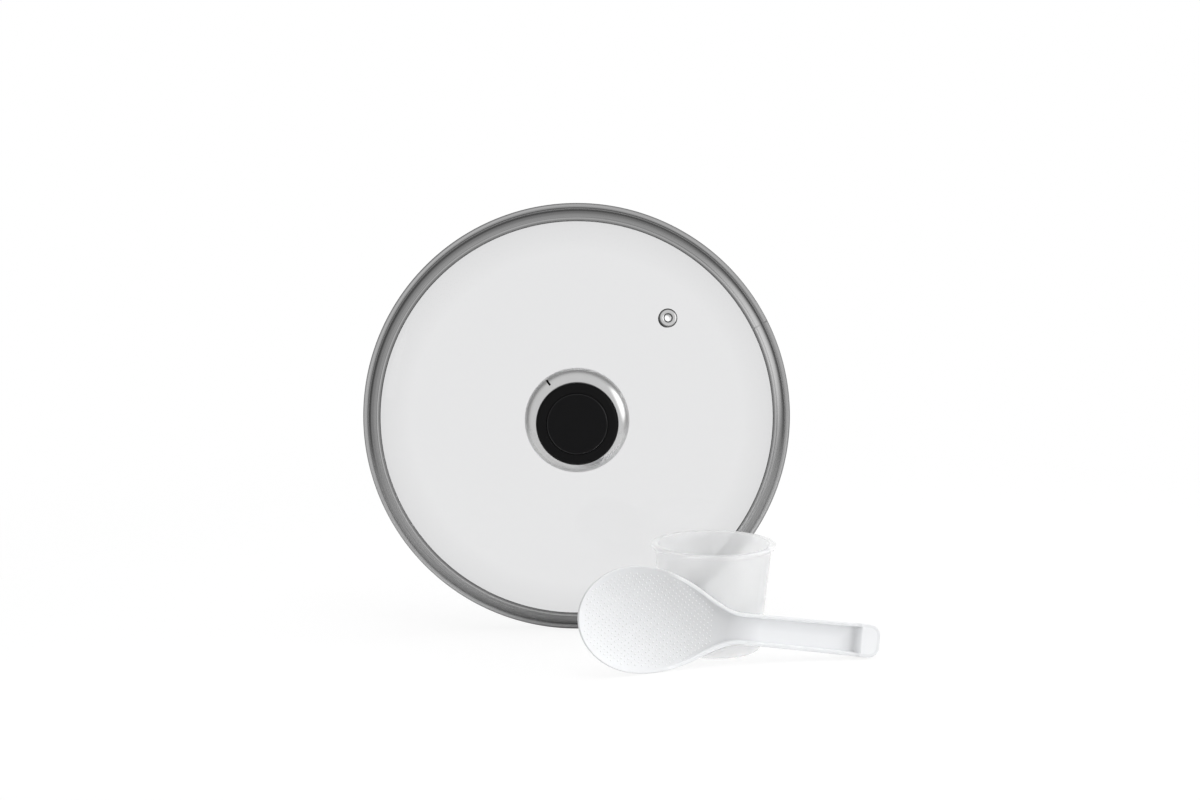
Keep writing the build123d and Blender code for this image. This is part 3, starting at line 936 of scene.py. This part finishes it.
class LID_OT_cup(bpy.types.Operator):
    """Finish the measuring cup"""
    bl_idname = "potlid.cup"
    bl_label = "Measuring cup"

    def execute(self, context):
        dress("measuring_cup", cup_finish())
        return {"FINISHED"}


class LID_OT_paddle(bpy.types.Operator):
    """Mould the rice paddle with its rounded edges and the dots on its blade"""
    bl_idname = "potlid.paddle"
    bl_label = "Rice paddle"

    def execute(self, context):
        sizes = context.scene.pot_paddle
        dots = context.scene.pot_dots
        place = paddle_place(sizes)
        # The paddle's painted shade greys its white by up to 0.31
        material = paddle_finish("White polypropylene", tuple(finishes().paddle), place, sizes, 0.31)
        mesh = paddle_mesh(sizes)
        mesh.transform(place)
        paddle = piece_from("rice_paddle_moulded", mesh, material)
        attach(paddle, "paddle")
        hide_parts("rice_paddle")
        spots, normals = dot_points(sizes, dots)
        start = bpy.data.meshes.new("dot_points")
        start.from_pydata(spots, [], [])
        stored = start.attributes.new("dot_normal", "FLOAT_VECTOR", "POINT")
        for slot, normal in zip(stored.data, normals):
            slot.vector = normal
        # Painted highlight: the dots take the lighter white and only 0.13 of the painted shade
        dot_finish_painted_light = paddle_finish("White polypropylene dots", tuple(finishes().dots), place, sizes, 0.13)
        made = made_by(dots_tree(), start, Dot_radius=dots.radius, Dot_height=dots.height, Finish=dot_finish_painted_light)
        if "dot_normal" in made.attributes:
            made.attributes.remove(made.attributes["dot_normal"])
        made.transform(place)
        pattern = piece_from("blade_dots", made, dot_finish_painted_light)
        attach(pattern, "paddle")
        return {"FINISHED"}


def lamp(name, spot, aim, wide, high, power):
    data = bpy.data.lights.new(name, "AREA")
    data.shape = "RECTANGLE"
    data.size, data.size_y = wide, high
    data.energy = power
    light = bpy.data.objects.new(name, data)
    light.location = spot
    light.rotation_euler = (Vector(aim) - Vector(spot)).to_track_quat("-Z", "Y").to_euler()
    bpy.context.scene.collection.objects.link(light)
    return light


SOFT = "SMOOTHERSTEP"


def studio_world(sizes):
    """White to the camera and through glass; shiny faces see a white sweep, a darker room and one soft
    light"""
    world = bpy.data.worlds.new("Studio")
    world.use_nodes = True
    web = Web(world.node_tree)
    where = web.add("ShaderNodeTexCoord").outputs["Generated"]
    away = web.split(where)["Y"]
    flags_from, flags_to, sweep_from, sweep_to, glow_edge = -0.75, 0.05, 0.35, 0.9, 0.91
    room = web.spread(away, sizes.room, sizes.flags, flags_from, flags_to, SOFT)
    sweep = web.spread(away, 0.0, 1.0, sweep_from, sweep_to, SOFT)
    around = web.fed("ShaderNodeMix", sweep, (0, 0, 0), room, sizes.surround)[0]
    toward = Vector(sizes.glow_toward).normalized()
    facing = web.fed("ShaderNodeVectorMath", where, toward, operation="DOT_PRODUCT")["Value"]
    glow = web.spread(facing, 0.0, sizes.glow, glow_edge, 1.0, SOFT)
    lit = web.fed("ShaderNodeBackground", web.math("ADD", around, glow))[0]
    white = web.fed("ShaderNodeBackground", (1, 1, 1, 1))[0]
    path = web.add("ShaderNodeLightPath").outputs
    seen = web.math("MAXIMUM", path["Is Camera Ray"], path["Is Transmission Ray"])
    mirror = web.math("MULTIPLY", path["Is Glossy Ray"], sweep)
    mixed = web.fed("ShaderNodeMixShader", web.math("MAXIMUM", seen, mirror), lit, white)[0]
    web.fed("ShaderNodeOutputWorld", mixed)
    bpy.context.scene.world = world


def floor_finish(sizes):
    """Matt white that keeps the shadow near the object and fades out into the white background"""
    material = bpy.data.materials.new("White floor")
    material.use_nodes = True
    web = Web(material.node_tree)
    path = web.add("ShaderNodeLightPath").outputs
    pale = web.spread(path["Is Glossy Ray"], sizes.floor, sizes.floor_mirror, ends=SOFT)
    matt = web.fed("ShaderNodeBsdfDiffuse", pale)[0]
    white = web.fed("ShaderNodeEmission", (1, 1, 1, 1))[0]
    seen = web.math("MULTIPLY", path["Is Camera Ray"], sizes.floor_clear)
    seen = web.math("MAXIMUM", seen, path["Is Transmission Ray"])
    near = web.fed("ShaderNodeMixShader", seen, matt, white)[0]
    where = web.add("ShaderNodeTexCoord").outputs["Object"]
    far = web.fed("ShaderNodeVectorMath", where, operation="LENGTH")["Value"]
    fade_from = sizes.floor_reach * 0.3
    fade = web.spread(far, 0.0, 1.0, fade_from, sizes.floor_reach, SOFT)
    bare = web.add("ShaderNodeBsdfTransparent").outputs[0]
    web.fed("ShaderNodeOutputMaterial", web.fed("ShaderNodeMixShader", fade, near, bare)[0])
    return material


class LID_OT_stage(bpy.types.Operator):
    """Set up the white floor, the soft lamps and the camera"""
    bl_idname = "potlid.stage"
    bl_label = "Studio"

    def execute(self, context):
        sizes = context.scene.pot_studio
        scene = context.scene
        scene.view_settings.view_transform = "Standard"
        mesh = bpy.data.meshes.new("floor")
        reach = sizes.floor_reach
        mesh.from_pydata([(-reach, -reach, 0), (reach, -reach, 0), (reach, reach, 0), (-reach, reach, 0)], [],
                         [(0, 1, 2, 3)])
        floor = piece_from("floor", mesh, floor_finish(sizes))
        studio_world(sizes)
        aim = (0.0, 0.0, 0.1)
        for soft in (lamp("key_softbox", (1.5, -0.05, 0.75), aim, 0.7, 0.7, sizes.key),
                     lamp("fill_softbox", (-1.3, -0.9, 0.8), aim, 0.9, 1.2, sizes.fill),
                     lamp("top_softbox", (0.1, -0.02, 1.6), aim, 1.4, 1.2, sizes.top)):
            soft.visible_glossy = False
        data = bpy.data.cameras.new("camera")
        data.sensor_width = 36.0
        data.lens = sizes.lens
        data.clip_start, data.clip_end = 0.01, 100.0
        camera = bpy.data.objects.new("camera", data)
        camera.location = sizes.camera
        yaw, pitch = sizes.camera_yaw, sizes.camera_pitch
        ahead = Vector((math.sin(yaw) * math.cos(pitch), math.cos(yaw) * math.cos(pitch), -math.sin(pitch)))
        camera.rotation_euler = ahead.to_track_quat("-Z", "Y").to_euler()
        scene.collection.objects.link(camera)
        scene.camera = camera
        return {"FINISHED"}


STEPS = (LID_OT_rim, LID_OT_glass, LID_OT_knob, LID_OT_vent, LID_OT_cup, LID_OT_paddle, LID_OT_stage)
GROUPS = {
    "pot_rim": RimSizes,
    "pot_paddle": PaddleSizes,
    "pot_dots": DotSizes,
    "pot_finishes": Finishes,
    "pot_studio": StudioSizes,
}


class LID_PT_panel(bpy.types.Panel):
    """Sizes, colours and steps of the set"""
    bl_label = "Pot lid"
    bl_idname = "LID_PT_panel"
    bl_space_type = "VIEW_3D"
    bl_region_type = "UI"
    bl_category = "Pot lid"

    def draw(self, context):
        for step in STEPS:
            self.layout.operator(step.bl_idname)
        for name, group in GROUPS.items():
            box = self.layout.box()
            for prop in group.__annotations__:
                box.prop(getattr(context.scene, name), prop)


def register():
    for group in (*GROUPS.values(), *STEPS, LID_PT_panel):
        bpy.utils.register_class(group)
    for name, group in GROUPS.items():
        setattr(bpy.types.Scene, name, PointerProperty(type=group))


def unregister():
    for name in GROUPS:
        delattr(bpy.types.Scene, name)
    for group in (LID_PT_panel, *reversed(STEPS), *reversed(tuple(GROUPS.values()))):
        bpy.utils.unregister_class(group)


def main():
    register()
    for step in STEPS:
        getattr(bpy.ops.potlid, step.bl_idname.partition(".")[2])()


if __name__ == "__main__":
    main()
